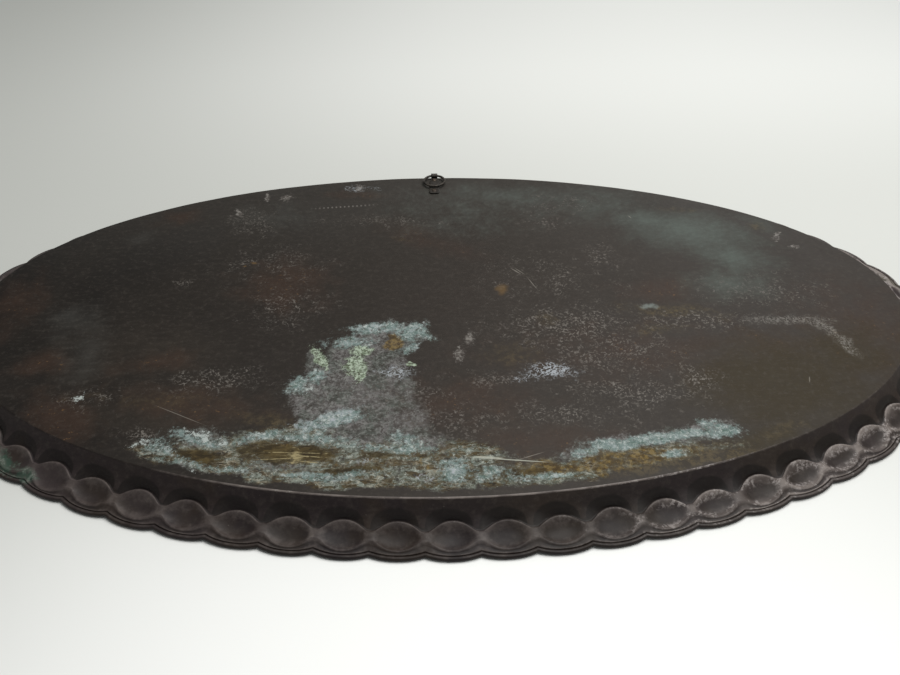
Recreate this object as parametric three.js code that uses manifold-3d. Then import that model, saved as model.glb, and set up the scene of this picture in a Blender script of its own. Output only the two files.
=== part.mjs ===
// Oval hammered copper tray with a lobed border, lying upside down on its rim.
// Millimetres, +Z up. The origin is at the middle of the tray, on the surface its rim rests on.
// The base is the highest face of the sheet, and the hanging ring is at the middle of the +Y long side.
import * as THREE from 'three';
import { mergeVertices } from 'three/addons/utils/BufferGeometryUtils.js';
import Module from 'manifold-3d';

// Sheet and flat base
const BASE_HALF_LENGTH = 367;
const BASE_HALF_WIDTH = 195;
const BASE_HEIGHT = 21.3;
const SHEET = 0.8;
const GAP = 0.3;

// Border of lobes, measured outward from the edge of the base
const LOBES = 58;
const COLUMNS_PER_LOBE = 4;
const FIRST_LOBE_FROM_MIDDLE = 6; // along the rim, from the middle of the -Y long side towards +X
const WALL_BEND_OUT = 7.5;
const WALL_BEND_HEIGHT = 11.9;
const LOBE_TOP_OUT = 10.5; // ridge round a lobe, on its middle line
const LOBE_END_OUT = 28.2;
const JOIN_TOP_OUT = 16.8; // the same ridges where two lobes join
const JOIN_END_OUT = 22;
const BAND_HEIGHT = 9.8; // ridge height at LOBE_TOP_OUT
const BAND_FALL = 0.354; // fall of the ridges per millimetre outward
const DISH_DEPTH = 3.2;

// Curled edge and the wire in it
const RIM_OUT = 34;
const SCALLOP = 3.2; // how far the edge draws in between two lobes
const EDGE_LIFT = 0.3; // how far it rises there
const CURL_RADIUS = 1.9;
const CURL_ANGLES = [-150, -90, -30, 30, 90, 160]; // degrees round the curl, from its foot to its lip
const WIRE_RADIUS = 0.7;
const WIRE_SIDES = 4;

// Hanger on the underside: a strap folded into an eye, its ring and two rivets
const HANGER_X = -3;
const EYE_Y = 194;
const EYE_BORE_RADIUS = 1.6;
const STRAP_THICKNESS = 0.6;
const STRAP_LENGTH = 29;
const STRAP_HALF_WIDTH = 4.75;
const EYE_HALF_WIDTH = 3;
const EYE_LIP_ANGLE = 210;
const EYE_OUTER_RADIUS = EYE_BORE_RADIUS + STRAP_THICKNESS;
const EYE_Z = BASE_HEIGHT + GAP + EYE_OUTER_RADIUS;
const RING_WIRE_RADIUS = 1.1;
const RING_RADIUS = 9.65; // to the middle of its wire
const RING_PLAY = 0.25; // the ring's far point sits this far beyond the eye's middle
const RIVET_Y = { rivet_outer: 189, rivet_inner: 169.5 };
const RIVET_SHANK_RADIUS = 1.5;
const RIVET_HEAD_RADIUS = 2.3;
const RIVET_HEAD_HEIGHT = 1;
const RIVET_TAIL_HEIGHT = 0.5;

const wasm = await Module();
wasm.setup();

// ---------- solids ----------

function closedMesh(points, triangles) {
  const geometry = new THREE.BufferGeometry();
  const position = points.flatMap((point) => [point.x, point.y, point.z]);
  geometry.setAttribute('position', new THREE.Float32BufferAttribute(position, 3));
  geometry.setIndex(triangles.flat());
  return geometry;
}

function toSolid(geometry) {
  geometry.deleteAttribute('normal');
  geometry.deleteAttribute('uv');
  const merged = mergeVertices(geometry, 1e-4);
  return new wasm.Manifold(new wasm.Mesh({
    numProp: 3,
    vertProperties: new Float32Array(merged.attributes.position.array),
    triVerts: new Uint32Array(merged.index.array),
  }));
}

function toGeometry(solid) {
  const mesh = solid.getMesh();
  const geometry = new THREE.BufferGeometry();
  geometry.setAttribute('position', new THREE.BufferAttribute(mesh.vertProperties, 3));
  geometry.setIndex(new THREE.BufferAttribute(mesh.triVerts, 1));
  return geometry;
}

// ---------- the oval ----------

// A point at a distance outward from the base's edge, where angle is the ellipse's own parameter.
function ovalPoint(angle, out) {
  const edge = new THREE.Vector2(BASE_HALF_LENGTH * Math.cos(angle), BASE_HALF_WIDTH * Math.sin(angle));
  const outward = new THREE.Vector2(Math.cos(angle) / BASE_HALF_LENGTH, Math.sin(angle) / BASE_HALF_WIDTH);
  return edge.addScaledVector(outward.normalize(), out);
}

// Angles of the columns of the rim, at equal steps along its outer edge, each with its place in its lobe.
function rimColumns() {
  const steps = 7200;
  const start = -Math.PI / 2;
  const angles = [start];
  const lengths = [0];
  for (let i = 1; i <= steps; i += 1) {
    const angle = start + (2 * Math.PI * i) / steps;
    const step = ovalPoint(angle, RIM_OUT).distanceTo(ovalPoint(angles[i - 1], RIM_OUT));
    angles.push(angle);
    lengths.push(lengths[i - 1] + step);
  }
  const total = lengths[steps];
  const count = LOBES * COLUMNS_PER_LOBE;
  const columns = [];
  let i = 0;
  for (let column = 0; column < count; column += 1) {
    const along = FIRST_LOBE_FROM_MIDDLE + (total * column) / count;
    while (lengths[i + 1] < along % total || lengths[i] > along % total) {
      i = (i + 1) % steps;
    }
    const part = ((along % total) - lengths[i]) / (lengths[i + 1] - lengths[i]);
    const fromLobe = (column % COLUMNS_PER_LOBE) / COLUMNS_PER_LOBE;
    columns.push({
      angle: angles[i] + part * (angles[i + 1] - angles[i]),
      acrossLobe: Math.min(fromLobe, 1 - fromLobe),
    });
  }
  return columns;
}

// ---------- cross-sections of the rim, as (outward, height) points ----------

function ridgeHeight(out) {
  return BAND_HEIGHT - BAND_FALL * (out - LOBE_TOP_OUT);
}

// 0 on a lobe's middle line and 1 where it joins the next lobe
function joinShare(acrossLobe) {
  return (2 * acrossLobe) ** 2;
}

function curlCentre(acrossLobe) {
  const share = joinShare(acrossLobe);
  return new THREE.Vector2(RIM_OUT - CURL_RADIUS - SCALLOP * share, CURL_RADIUS + EDGE_LIFT * share);
}

function circlePoint(centre, radius, degrees) {
  const angle = THREE.MathUtils.degToRad(degrees);
  return new THREE.Vector2(centre.x + radius * Math.cos(angle), centre.y + radius * Math.sin(angle));
}

// The face that is the tray's underside, from the base's edge out to the inside of the curl.
function undersidePath(acrossLobe) {
  const share = joinShare(acrossLobe);
  const top = THREE.MathUtils.lerp(LOBE_TOP_OUT, JOIN_TOP_OUT, share);
  const end = THREE.MathUtils.lerp(LOBE_END_OUT, JOIN_END_OUT, share);
  const middle = (top + end) / 2;
  const centre = curlCentre(acrossLobe);
  return [
    new THREE.Vector2(0, BASE_HEIGHT),
    new THREE.Vector2(WALL_BEND_OUT, WALL_BEND_HEIGHT),
    new THREE.Vector2(top, ridgeHeight(top)),
    new THREE.Vector2(middle, ridgeHeight(middle) - DISH_DEPTH * (1 - share)),
    new THREE.Vector2(end, ridgeHeight(end)),
    ...CURL_ANGLES.map((degrees) => circlePoint(centre, CURL_RADIUS - SHEET, degrees)),
  ];
}

// The serving face, one sheet thickness behind the underside.
function servingPath(acrossLobe, underside) {
  const centre = curlCentre(acrossLobe);
  const flatCount = underside.length - CURL_ANGLES.length;
  const behind = (from, to) => new THREE.Vector2(to.y - from.y, from.x - to.x).normalize();
  return underside.map((point, i) => {
    if (i >= flatCount) {
      return circlePoint(centre, CURL_RADIUS, CURL_ANGLES[i - flatCount]);
    }
    const before = i === 0 ? new THREE.Vector2(0, -1) : behind(underside[i - 1], point);
    const after = behind(point, underside[i + 1]);
    const scale = SHEET / (1 + before.dot(after));
    return point.clone().addScaledVector(before.clone().add(after), scale);
  });
}

// ---------- tray pan ----------

function columnRing(column, section) {
  return section.map((point) => {
    const plan = ovalPoint(column.angle, point.x);
    return new THREE.Vector3(plan.x, plan.y, point.y);
  });
}

// Quads between neighbouring columns, each holding size points; a loop joins its last point to its first.
function bandTriangles(columnCount, size, isLoop) {
  const triangles = [];
  const bands = isLoop ? size : size - 1;
  for (let column = 0; column < columnCount; column += 1) {
    const here = column * size;
    const next = ((column + 1) % columnCount) * size;
    for (let i = 0; i < bands; i += 1) {
      const j = (i + 1) % size;
      triangles.push([here + i, here + j, next + i], [next + i, here + j, next + j]);
    }
  }
  return triangles;
}

// The base's two flat faces share one layout: a large middle facet and a fan of facets out to the edge.
function baseTriangles(outline) {
  const facet = [new THREE.Vector2(-160, -90), new THREE.Vector2(0, 140), new THREE.Vector2(160, -90)];
  const fan = THREE.ShapeUtils.triangulateShape(outline, [facet]);
  const first = outline.length;
  return { facet, triangles: [...fan, [first, first + 2, first + 1]] };
}

function trayPan(columns) {
  const points = [];
  columns.forEach((column) => {
    const underside = undersidePath(column.acrossLobe);
    const serving = servingPath(column.acrossLobe, underside);
    points.push(...columnRing(column, [...underside, ...serving.reverse()]));
  });
  const size = points.length / columns.length;
  const triangles = bandTriangles(columns.length, size, false);

  const outline = columns.map((column) => ovalPoint(column.angle, 0));
  const base = baseTriangles(outline);
  const upper = points.length;
  base.facet.forEach((corner) => points.push(new THREE.Vector3(corner.x, corner.y, BASE_HEIGHT)));
  const lower = points.length;
  base.facet.forEach((corner) => points.push(new THREE.Vector3(corner.x, corner.y, BASE_HEIGHT - SHEET)));
  base.triangles.forEach(([a, b, c]) => {
    const onUpper = (i) => (i < columns.length ? i * size : upper + i - columns.length);
    const onLower = (i) => (i < columns.length ? i * size + size - 1 : lower + i - columns.length);
    triangles.push([onUpper(a), onUpper(b), onUpper(c)], [onLower(a), onLower(c), onLower(b)]);
  });
  return toSolid(closedMesh(points, triangles));
}

function rimWire(columns) {
  const points = [];
  columns.forEach((column) => {
    const centre = curlCentre(column.acrossLobe);
    const section = [];
    for (let side = 0; side < WIRE_SIDES; side += 1) {
      section.push(circlePoint(centre, WIRE_RADIUS, (-360 * side) / WIRE_SIDES));
    }
    points.push(...columnRing(column, section));
  });
  return closedMesh(points, bandTriangles(columns.length, WIRE_SIDES, true));
}

// ---------- hanger ----------

function rivetHole(y) {
  const hole = new THREE.CylinderGeometry(RIVET_SHANK_RADIUS + GAP, RIVET_SHANK_RADIUS + GAP, 10, 16);
  hole.rotateX(Math.PI / 2);
  hole.translate(HANGER_X, y, BASE_HEIGHT);
  return toSolid(hole);
}

function withoutRivetHoles(solid) {
  return Object.values(RIVET_Y).reduce((rest, y) => rest.subtract(rivetHole(y)), solid);
}

// Side view of the strap, drawn about the middle of its eye: a flat tail and an eye left open at its lip.
function strapSideView() {
  const lip = THREE.MathUtils.degToRad(EYE_LIP_ANGLE);
  const shape = new THREE.Shape();
  shape.moveTo(-STRAP_LENGTH, -EYE_OUTER_RADIUS);
  shape.lineTo(0, -EYE_OUTER_RADIUS);
  shape.absarc(0, 0, EYE_OUTER_RADIUS, -Math.PI / 2, lip, false);
  shape.absarc(0, 0, EYE_BORE_RADIUS, lip, -Math.PI / 2, true);
  shape.lineTo(-STRAP_LENGTH, -EYE_BORE_RADIUS);
  shape.closePath();
  const geometry = new THREE.ExtrudeGeometry(shape, {
    depth: 2 * STRAP_HALF_WIDTH,
    bevelEnabled: false,
    curveSegments: 7,
  });
  const along = new THREE.Vector3(0, 1, 0);
  const up = new THREE.Vector3(0, 0, 1);
  const across = new THREE.Vector3(1, 0, 0);
  geometry.applyMatrix4(new THREE.Matrix4().makeBasis(along, up, across));
  return geometry.translate(-STRAP_HALF_WIDTH, 0, 0);
}

// Plan of the strap: a round tail, parallel sides and a taper to the narrower eye.
function strapPlan() {
  const shape = new THREE.Shape();
  const tailCentre = -STRAP_LENGTH + STRAP_HALF_WIDTH;
  const taperStart = -9;
  const taperEnd = -3;
  const beyondEye = 4;
  shape.absarc(0, tailCentre, STRAP_HALF_WIDTH, Math.PI, 2 * Math.PI, false);
  shape.lineTo(STRAP_HALF_WIDTH, taperStart);
  shape.lineTo(EYE_HALF_WIDTH, taperEnd);
  shape.lineTo(EYE_HALF_WIDTH, beyondEye);
  shape.lineTo(-EYE_HALF_WIDTH, beyondEye);
  shape.lineTo(-EYE_HALF_WIDTH, taperEnd);
  shape.lineTo(-STRAP_HALF_WIDTH, taperStart);
  const depth = 10;
  const geometry = new THREE.ExtrudeGeometry(shape, { depth, bevelEnabled: false, curveSegments: 8 });
  return geometry.translate(0, 0, -depth / 2);
}

function hangerStrap() {
  const strap = toSolid(strapSideView()).intersect(toSolid(strapPlan()));
  return toGeometry(withoutRivetHoles(strap.translate(HANGER_X, EYE_Y, EYE_Z)));
}

// A rivet's outline from its tail to the top of its domed head, revolved about its own axis.
function rivet() {
  const headFoot = BASE_HEIGHT + GAP + STRAP_THICKNESS + GAP;
  const tailTop = BASE_HEIGHT - SHEET - GAP;
  const outline = [
    new THREE.Vector2(0, tailTop - RIVET_TAIL_HEIGHT),
    new THREE.Vector2(RIVET_HEAD_RADIUS - RIVET_TAIL_HEIGHT, tailTop - RIVET_TAIL_HEIGHT),
    new THREE.Vector2(RIVET_HEAD_RADIUS, tailTop),
    new THREE.Vector2(RIVET_SHANK_RADIUS, tailTop),
    new THREE.Vector2(RIVET_SHANK_RADIUS, headFoot),
  ];
  const domeSteps = 4;
  for (let i = 0; i <= domeSteps; i += 1) {
    const angle = (Math.PI / 2) * (i / domeSteps);
    const radius = i === domeSteps ? 0 : RIVET_HEAD_RADIUS * Math.cos(angle);
    outline.push(new THREE.Vector2(radius, headFoot + RIVET_HEAD_HEIGHT * Math.sin(angle)));
  }
  return new THREE.LatheGeometry(outline, 16).rotateX(Math.PI / 2);
}

// ---------- materials and assembly ----------

function metal(color, roughness) {
  return new THREE.MeshStandardMaterial({ color, roughness, metalness: 0.9 });
}

function named(name, geometry, material) {
  const mesh = new THREE.Mesh(geometry, material);
  mesh.name = name;
  return mesh;
}

const columns = rimColumns();
const tray = new THREE.Group();

tray.add(named('tray_pan', toGeometry(withoutRivetHoles(trayPan(columns))), metal(0x5c5148, 0.55)));
tray.add(named('rim_wire', rimWire(columns), metal(0x6b5a48, 0.5)));

const hanger = new THREE.Group();
hanger.add(named('hanger_strap', hangerStrap(), metal(0x75604c, 0.5)));

const ring = named('hanger_ring', new THREE.TorusGeometry(RING_RADIUS, RING_WIRE_RADIUS, 8, 32), metal(0x7d6a58, 0.45));
ring.position.set(HANGER_X, EYE_Y + RING_PLAY - RING_RADIUS, EYE_Z);
hanger.add(ring);

Object.entries(RIVET_Y).forEach(([name, y]) => {
  const mesh = named(name, rivet(), metal(0x7a6450, 0.45));
  mesh.position.set(HANGER_X, y, 0);
  hanger.add(mesh);
});
tray.add(hanger);

export default tray;
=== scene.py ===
"""An oval hammered copper tray, lying underside up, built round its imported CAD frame.

The frame is in metres. A tray is measured in millimetres, so every length here is in millimetres
and meshes are scaled by MM when they are made. "Out" is the distance outward from the edge of the
flat base, square to it. "u" runs from -0.5 to 0.5 across one embossed lobe of the border.
"""

import math

import bpy
import numpy as np
from mathutils import Matrix, Vector
from mathutils.geometry import delaunay_2d_cdt


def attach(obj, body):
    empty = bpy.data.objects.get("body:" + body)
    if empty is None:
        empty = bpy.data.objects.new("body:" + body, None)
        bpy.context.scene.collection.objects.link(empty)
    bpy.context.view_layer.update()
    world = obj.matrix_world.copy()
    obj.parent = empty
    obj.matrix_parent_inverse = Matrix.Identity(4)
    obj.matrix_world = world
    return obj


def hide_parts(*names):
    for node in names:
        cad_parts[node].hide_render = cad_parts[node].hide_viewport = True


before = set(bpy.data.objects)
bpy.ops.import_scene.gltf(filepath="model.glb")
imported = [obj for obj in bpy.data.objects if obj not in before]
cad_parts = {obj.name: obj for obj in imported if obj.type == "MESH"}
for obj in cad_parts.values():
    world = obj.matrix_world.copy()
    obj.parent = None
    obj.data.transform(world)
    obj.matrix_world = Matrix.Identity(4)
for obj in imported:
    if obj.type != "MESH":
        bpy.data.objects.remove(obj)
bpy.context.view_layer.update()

MM = 0.001

# Base, an oval sheet.
BASE_HALF_LENGTH = 367.0
BASE_HALF_WIDTH = 195.0
BASE_HEIGHT = 21.3
SHEET = 0.75

# Border of almond-shaped lobes, and the wired edge outside it.
LOBES = 58
COLUMNS_PER_LOBE = 12
FIRST_LOBE_FROM_MIDDLE = 6.0
RIM_OUT = 34.0
CREASE = (0.0, 21.3)
WALL_BEND = (7.5, 11.9)
LOBE_TOP_OUT = 10.5
LOBE_END_OUT = 28.2
JOIN_TOP_OUT = 16.8
JOIN_END_OUT = 22.0
LENS_SHARE = 0.84           # share of the pitch that a lobe takes up, the rest is its join
LENS_POWER = 2.1
BAND_HEIGHT = 9.8
BAND_FALL = 0.354
DISH_DEPTH = 3.0
BEAD_OUT = 32.12
BEAD_HEIGHT = 1.62
BEAD_RADIUS = 1.56
SCALLOP = 3.1
EDGE_LIFT = 0.35
FLANGE_INSIDE_BEAD = 1.82
GROOVE_INSIDE_BEAD = 1.6
FAR_SIDE_NARROWER = 3.2     # the far long side of the border is narrower by this
WIRE_RADIUS = 0.42          # thinner than in the CAD, so it stays inside the rounder curl

# Hanger, at the middle of the far long side.
HANGER_X = -3.0
EYE_Y = 194.0
EYE_Z = 23.8
EYE_BORE_RADIUS = 1.6
STRAP_THICKNESS = 0.57
STRAP_LENGTH = 29.0
STRAP_HALF_WIDTH = 4.75
EYE_HALF_WIDTH = 3.0
EYE_LIP_ANGLE = 210.0
RING_WIRE_RADIUS = 1.1
RING_RADIUS = 9.65
RING_CENTRE_Y = 184.6
RIVETS = {"rivet_outer": 189.0, "rivet_inner": 169.5}
RIVET_SHANK_RADIUS = 1.5
RIVET_HEAD_RADIUS = 2.3
RIVET_HEAD_HEIGHT = 1.0
RIVET_TAIL_HEIGHT = 0.5


# ---------------------------------------------------------------- small numeric tools

def lattice_noise(x, y, cell, seed):
    """Smooth random values from -1 to 1 in the plane, about one bump every cell millimetres."""
    table = np.random.default_rng(seed).uniform(-1, 1, (97, 89))
    gx, gy = x / cell, y / cell
    ix, iy = np.floor(gx).astype(int), np.floor(gy).astype(int)
    fx, fy = gx - ix, gy - iy
    fx, fy = fx * fx * (3 - 2 * fx), fy * fy * (3 - 2 * fy)

    def value(i, j):
        return table[i % 97, j % 89]

    near = value(ix, iy) * (1 - fx) + value(ix + 1, iy) * fx
    far = value(ix, iy + 1) * (1 - fx) + value(ix + 1, iy + 1) * fx
    return near * (1 - fy) + far * fy


def smooth_step(low, high, value):
    t = np.clip((value - low) / (high - low), 0, 1)
    return t * t * (3 - 2 * t)


def oval(angle, out):
    """x and y of the places that lie out millimetres outside the base's edge."""
    x, y = BASE_HALF_LENGTH * np.cos(angle), BASE_HALF_WIDTH * np.sin(angle)
    nx, ny = BASE_HALF_WIDTH * np.cos(angle), BASE_HALF_LENGTH * np.sin(angle)
    length = np.hypot(nx, ny)
    return x + nx / length * out, y + ny / length * out


def rim_columns():
    """(angle, u) of every column of the border. They're equally spaced on the rim, closer at the joins."""
    angles = np.linspace(-math.pi / 2, 1.5 * math.pi, 20001)
    x, y = oval(angles, RIM_OUT)
    lengths = np.concatenate([[0], np.cumsum(np.hypot(np.diff(x), np.diff(y)))])
    pitch = lengths[-1] / LOBES
    even = np.arange(COLUMNS_PER_LOBE) / COLUMNS_PER_LOBE - 0.5
    u = np.sign(even) * 0.5 * (1 - (1 - 2 * np.abs(even)) ** 1.15)
    lobe = np.repeat(np.arange(LOBES), COLUMNS_PER_LOBE)
    u = np.tile(u, LOBES)
    along = (FIRST_LOBE_FROM_MIDDLE + pitch * (lobe + u)) % lengths[-1]
    return np.interp(along, lengths, angles), u, lobe


def far_side_narrower(angle):
    """How much narrower than on the near side the border is."""
    return FAR_SIDE_NARROWER * smooth_step(0.0, 0.6, np.sin(angle))


def bead_middle(u, narrower):
    """How far out the middle of the curled edge lies. It comes in towards the joins."""
    return BEAD_OUT - (SCALLOP + 0.7 * narrower) * np.abs(2 * u) ** 2.2 - narrower


# ---------------------------------------------------------------- meshes

def grid_faces(rows, columns, round_rows=False, round_columns=False):
    """Faces between the points of a grid, which may close on itself in either direction."""
    return [(r * columns + c, r * columns + (c + 1) % columns,
             (r + 1) % rows * columns + (c + 1) % columns, (r + 1) % rows * columns + c)
            for r in range(rows if round_rows else rows - 1)
            for c in range(columns if round_columns else columns - 1)]


def flipped(faces):
    """The same faces seen from their other side."""
    return [(f[0], *f[:0:-1]) for f in faces]


def turns(count):
    """Angles of places equally spaced round a circle."""
    return np.arange(count) * 2 * math.pi / count


def new_object(name, points, faces, body, slot, *nodes, materials):
    """A smooth mesh object in metres, from points in millimetres, riding on body instead of CAD nodes."""
    mesh = bpy.data.meshes.new(name)
    mesh.from_pydata([tuple(p) for p in np.asarray(points).reshape(-1, 3) * MM], [], faces)
    mesh.validate()
    mesh.polygons.foreach_set("use_smooth", [True] * len(mesh.polygons))
    mesh.set_sharp_from_angle(angle=math.radians(50))
    made = bpy.data.objects.new(name, mesh)
    for material in materials:
        mesh.materials.append(material)
    bpy.context.scene.collection.objects.link(made)
    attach(made, body)
    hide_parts(*nodes)
    return mesh


def add_field(mesh, name, values):
    mesh.attributes.new(name, "FLOAT", "POINT").data.foreach_set("value", values.astype(np.float32))


def step_towards(point, other, distance):
    away = other - point
    length = np.linalg.norm(away, axis=-1, keepdims=True)
    return point + away * np.minimum(distance / np.maximum(length, 1e-9), 0.5)


def rounded_path(corners):
    """Stations of a section through its corners. A corner is (place, cut, count): it's rounded off from
    cut millimetres before it, with count stations, and kept as it is where the cut is 0."""
    path = []
    for i, (place, cut, count) in enumerate(corners):
        if cut == 0:
            path.append(place)
            continue
        start = step_towards(place, corners[i - 1][0], cut)
        end = step_towards(place, corners[i + 1][0], cut)
        for t in np.linspace(0, 1, count):
            path.append(start * (1 - t) ** 2 + place * 2 * t * (1 - t) + end * t * t)
    return path


def pair(out, height, like):
    return np.stack([out + 0 * like, height + 0 * like], -1)


def border_sections(u, lobe, narrower):
    """Stations of the sheet across the border, from the base's top face round the wired edge and back
    to its lower face, with the fields the patina needs at each. Arrays of columns by stations. The last
    value returned is the station where the serving face begins."""
    random = np.random.default_rng(11)
    spread = np.abs(2 * u)
    inside = 1 - spread ** 2
    along_lens = np.minimum(spread / LENS_SHARE, 1)
    lens = along_lens ** LENS_POWER
    top_shift = random.uniform(-0.7, 0.9, LOBES)[lobe] * inside
    end_shift = random.uniform(-0.9, 0.5, LOBES)[lobe] * inside
    depth = DISH_DEPTH * random.uniform(0.8, 1.12, LOBES)[lobe] * (1 - along_lens ** 2.6)
    tip = random.uniform(-0.7, 0.0, LOBES)[lobe] * inside
    lean = random.uniform(-0.25, 0.25, LOBES)[lobe] * u * 2
    join_lift = random.uniform(-0.4, 0.5, LOBES)
    join_lift = np.where(u < 0, join_lift[lobe], join_lift[(lobe + 1) % LOBES]) * spread ** 3

    top = LOBE_TOP_OUT + (JOIN_TOP_OUT - LOBE_TOP_OUT) * lens + top_shift
    end = LOBE_END_OUT + (JOIN_END_OUT - LOBE_END_OUT) * lens + end_shift - 0.6 * narrower
    bead_out = bead_middle(u, narrower) + tip
    bead_z = BEAD_HEIGHT + EDGE_LIFT * spread ** 2 + np.maximum(join_lift, 0.0)

    def plane(out):
        return BAND_HEIGHT - BAND_FALL * (out - LOBE_TOP_OUT)

    upper = []          # (place, cut, count, offset to the lower face, wear and painted highlight, painted shade and dirt)

    def corner(out, height, cut, count, offset, wear_and_highlight=0.0, shade_and_dirt=0.0):
        upper.append((pair(out, height, u), cut, count, offset, wear_and_highlight + 0 * u, shade_and_dirt + 0 * u))

    web = smooth_step(0.7, 1.05, spread / LENS_SHARE)
    corner(-4.0, BASE_HEIGHT, 0, 1, (0, -1), 0.0)
    corner(-0.75, BASE_HEIGHT, 0, 1, (0, -1), 0.0)
    corner(*CREASE, 0.5, 3, (-0.45, -0.9), 1.35)
    corner(0.85, 20.2, 0, 1, (-0.7, -0.7), 0.0)
    corner(4.0, 16.0, 0, 1, (-0.75, -0.66), 0.0, 0.1)
    corner(5.8, 13.75, 0, 1, (-0.75, -0.66), 0.0, 0.1)
    corner(*WALL_BEND, 1.8, 4, (-0.7, -0.7), 0.0, 0.15)
    corner(top - 1.7, plane(top) - 1.0 + 0.5 * web, 0.8, 3, (-0.55, -0.8), 0.3 * web, 0.2 - 0.2 * web)
    corner(top, plane(top) + 0.3 - 0.25 * web, 1.0, 4, (-0.3, -0.95), 0.9 - 0.25 * web)
    for t in np.linspace(0.1, 0.9, 9):
        out = top + (end - top) * t
        bowl = 1 - np.abs(2 * t - 1) ** 2.3 + 0.4 * lean * math.sin(2 * math.pi * t)
        near_ridge = np.abs(2 * t - 1) ** 1.3
        corner(out, plane(out) - depth * bowl, 0, 1, (-0.3, -0.95),
               0.85 * web + near_ridge * (1 - web), 0.25 * (1 - near_ridge) * (1 - web))
    corner(end, plane(end) + 0.2, 1.0, 4, (-0.3, -0.95), 0.7)
    flange = bead_out - FLANGE_INSIDE_BEAD + 0.1 * lattice_noise((lobe + u) * 34, 0 * u, 7, 13)
    corner(end + (flange - end) * 0.5, (plane(end) + bead_z + 1.35) / 2 - 0.6 + 0.35 * web, 0.7, 3,
           (-0.25, -0.97), 0.3, 0.55 - 0.4 * web)
    corner(flange, bead_z + 1.3, 0.4, 3, (-0.62, -0.8), 0.85)
    corner(bead_out - GROOVE_INSIDE_BEAD, bead_z - 0.1, 0, 1, (-0.8, -0.7), 0.0, 0.8)

    path = rounded_path([c[:3] for c in upper])
    wear_and_highlight = sum(([c[4]] * c[2] for c in upper), [])
    shade_and_dirt = sum(([c[5]] * c[2] for c in upper), [])

    # Round the curled edge: wear and painted highlight on top, painted shade and dirt below.
    def arc(radius, start, stop, count, top_wear_and_highlight):
        for angle in np.radians(np.linspace(start, stop, count)):
            path.append(pair(bead_out + radius * math.cos(angle), bead_z + radius * math.sin(angle), u))
            wear_and_highlight.append(top_wear_and_highlight * max(0.0, math.sin(angle)) ** 3 + 0 * u)
            shade_and_dirt.append(0.3 + 0.5 * (1 - max(0.0, math.sin(angle))) + 0 * u)

    arc(BEAD_RADIUS - SHEET, -165, 160, 9, 0.0)
    n_upper = len(path)
    arc(BEAD_RADIUS, 162, -150, 13, 0.6)
    first_serving = n_upper + 11

    skip = range(10, 18, 2)     # every other corner across the dish
    lower = [(c[0] + SHEET * np.array(c[3]), c[1] * 0.9, max(2, c[2] - 1) if c[1] else 1, c[5])
             for i, c in enumerate(upper[:-1]) if i not in skip][::-1]
    path += rounded_path([(path[-1], 0, 1)] + [c[:3] for c in lower])[1:]
    for c in lower:
        wear_and_highlight += [0.0 * u] * c[2]
        shade_and_dirt += [c[3]] * c[2]
    path = np.stack(path, 1)
    station = np.arange(path.shape[1])[None, :]
    wall = ((path[..., 0] < top[:, None] - 1.0) & (path[..., 0] > -1) & (station < n_upper)).astype(float)
    across = np.abs(2 * (u + 0.07))[:, None] + 0 * wall
    base = np.clip(0.8 - path[..., 0], 0, 1) * (station < n_upper)
    fields = {"wear_and_highlight": np.stack(wear_and_highlight, 1), "shade_and_dirt": np.stack(shade_and_dirt, 1), "wall": wall, "across": across,
              "base": base}
    return path, fields, first_serving


def base_fill(ring, spacing):
    """Triangles that fill a ring of (x, y) places, with more places inside it. Returns (places, faces)."""
    xs = np.arange(-BASE_HALF_LENGTH, BASE_HALF_LENGTH, spacing)
    ys = np.arange(-BASE_HALF_WIDTH, BASE_HALF_WIDTH, spacing * 0.866)
    gx, gy = np.meshgrid(xs, ys)
    gx = gx + (np.arange(len(ys)) % 2)[:, None] * spacing / 2
    gap = 4.0 + 0.8 * spacing
    keep = (gx / (BASE_HALF_LENGTH - gap)) ** 2 + (gy / (BASE_HALF_WIDTH - gap)) ** 2 < 1
    places = np.concatenate([ring, np.stack([gx[keep], gy[keep]], -1)])
    n = len(ring)
    edges = [(i, (i + 1) % n) for i in range(n)]
    verts, _, faces, origins, _, _ = delaunay_2d_cdt([Vector(p) for p in places], edges, [], 1, 1e-6)
    index = [o[0] for o in origins]
    return places[n:], [tuple(index[v] for v in f) for f in faces]


def hammered(x, y):
    """How far the sheet lies below its true surface, in millimetres, from the hammer and from use."""
    slow = 0.22 * (lattice_noise(x, y, 95, 3) + 1) + 0.1 * (lattice_noise(x, y, 38, 4) + 1)
    marks = 0.05 * (lattice_noise(x, y, 15, 5) + 1) + 0.025 * (lattice_noise(x, y, 8, 6) + 1)
    return slow + marks


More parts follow.
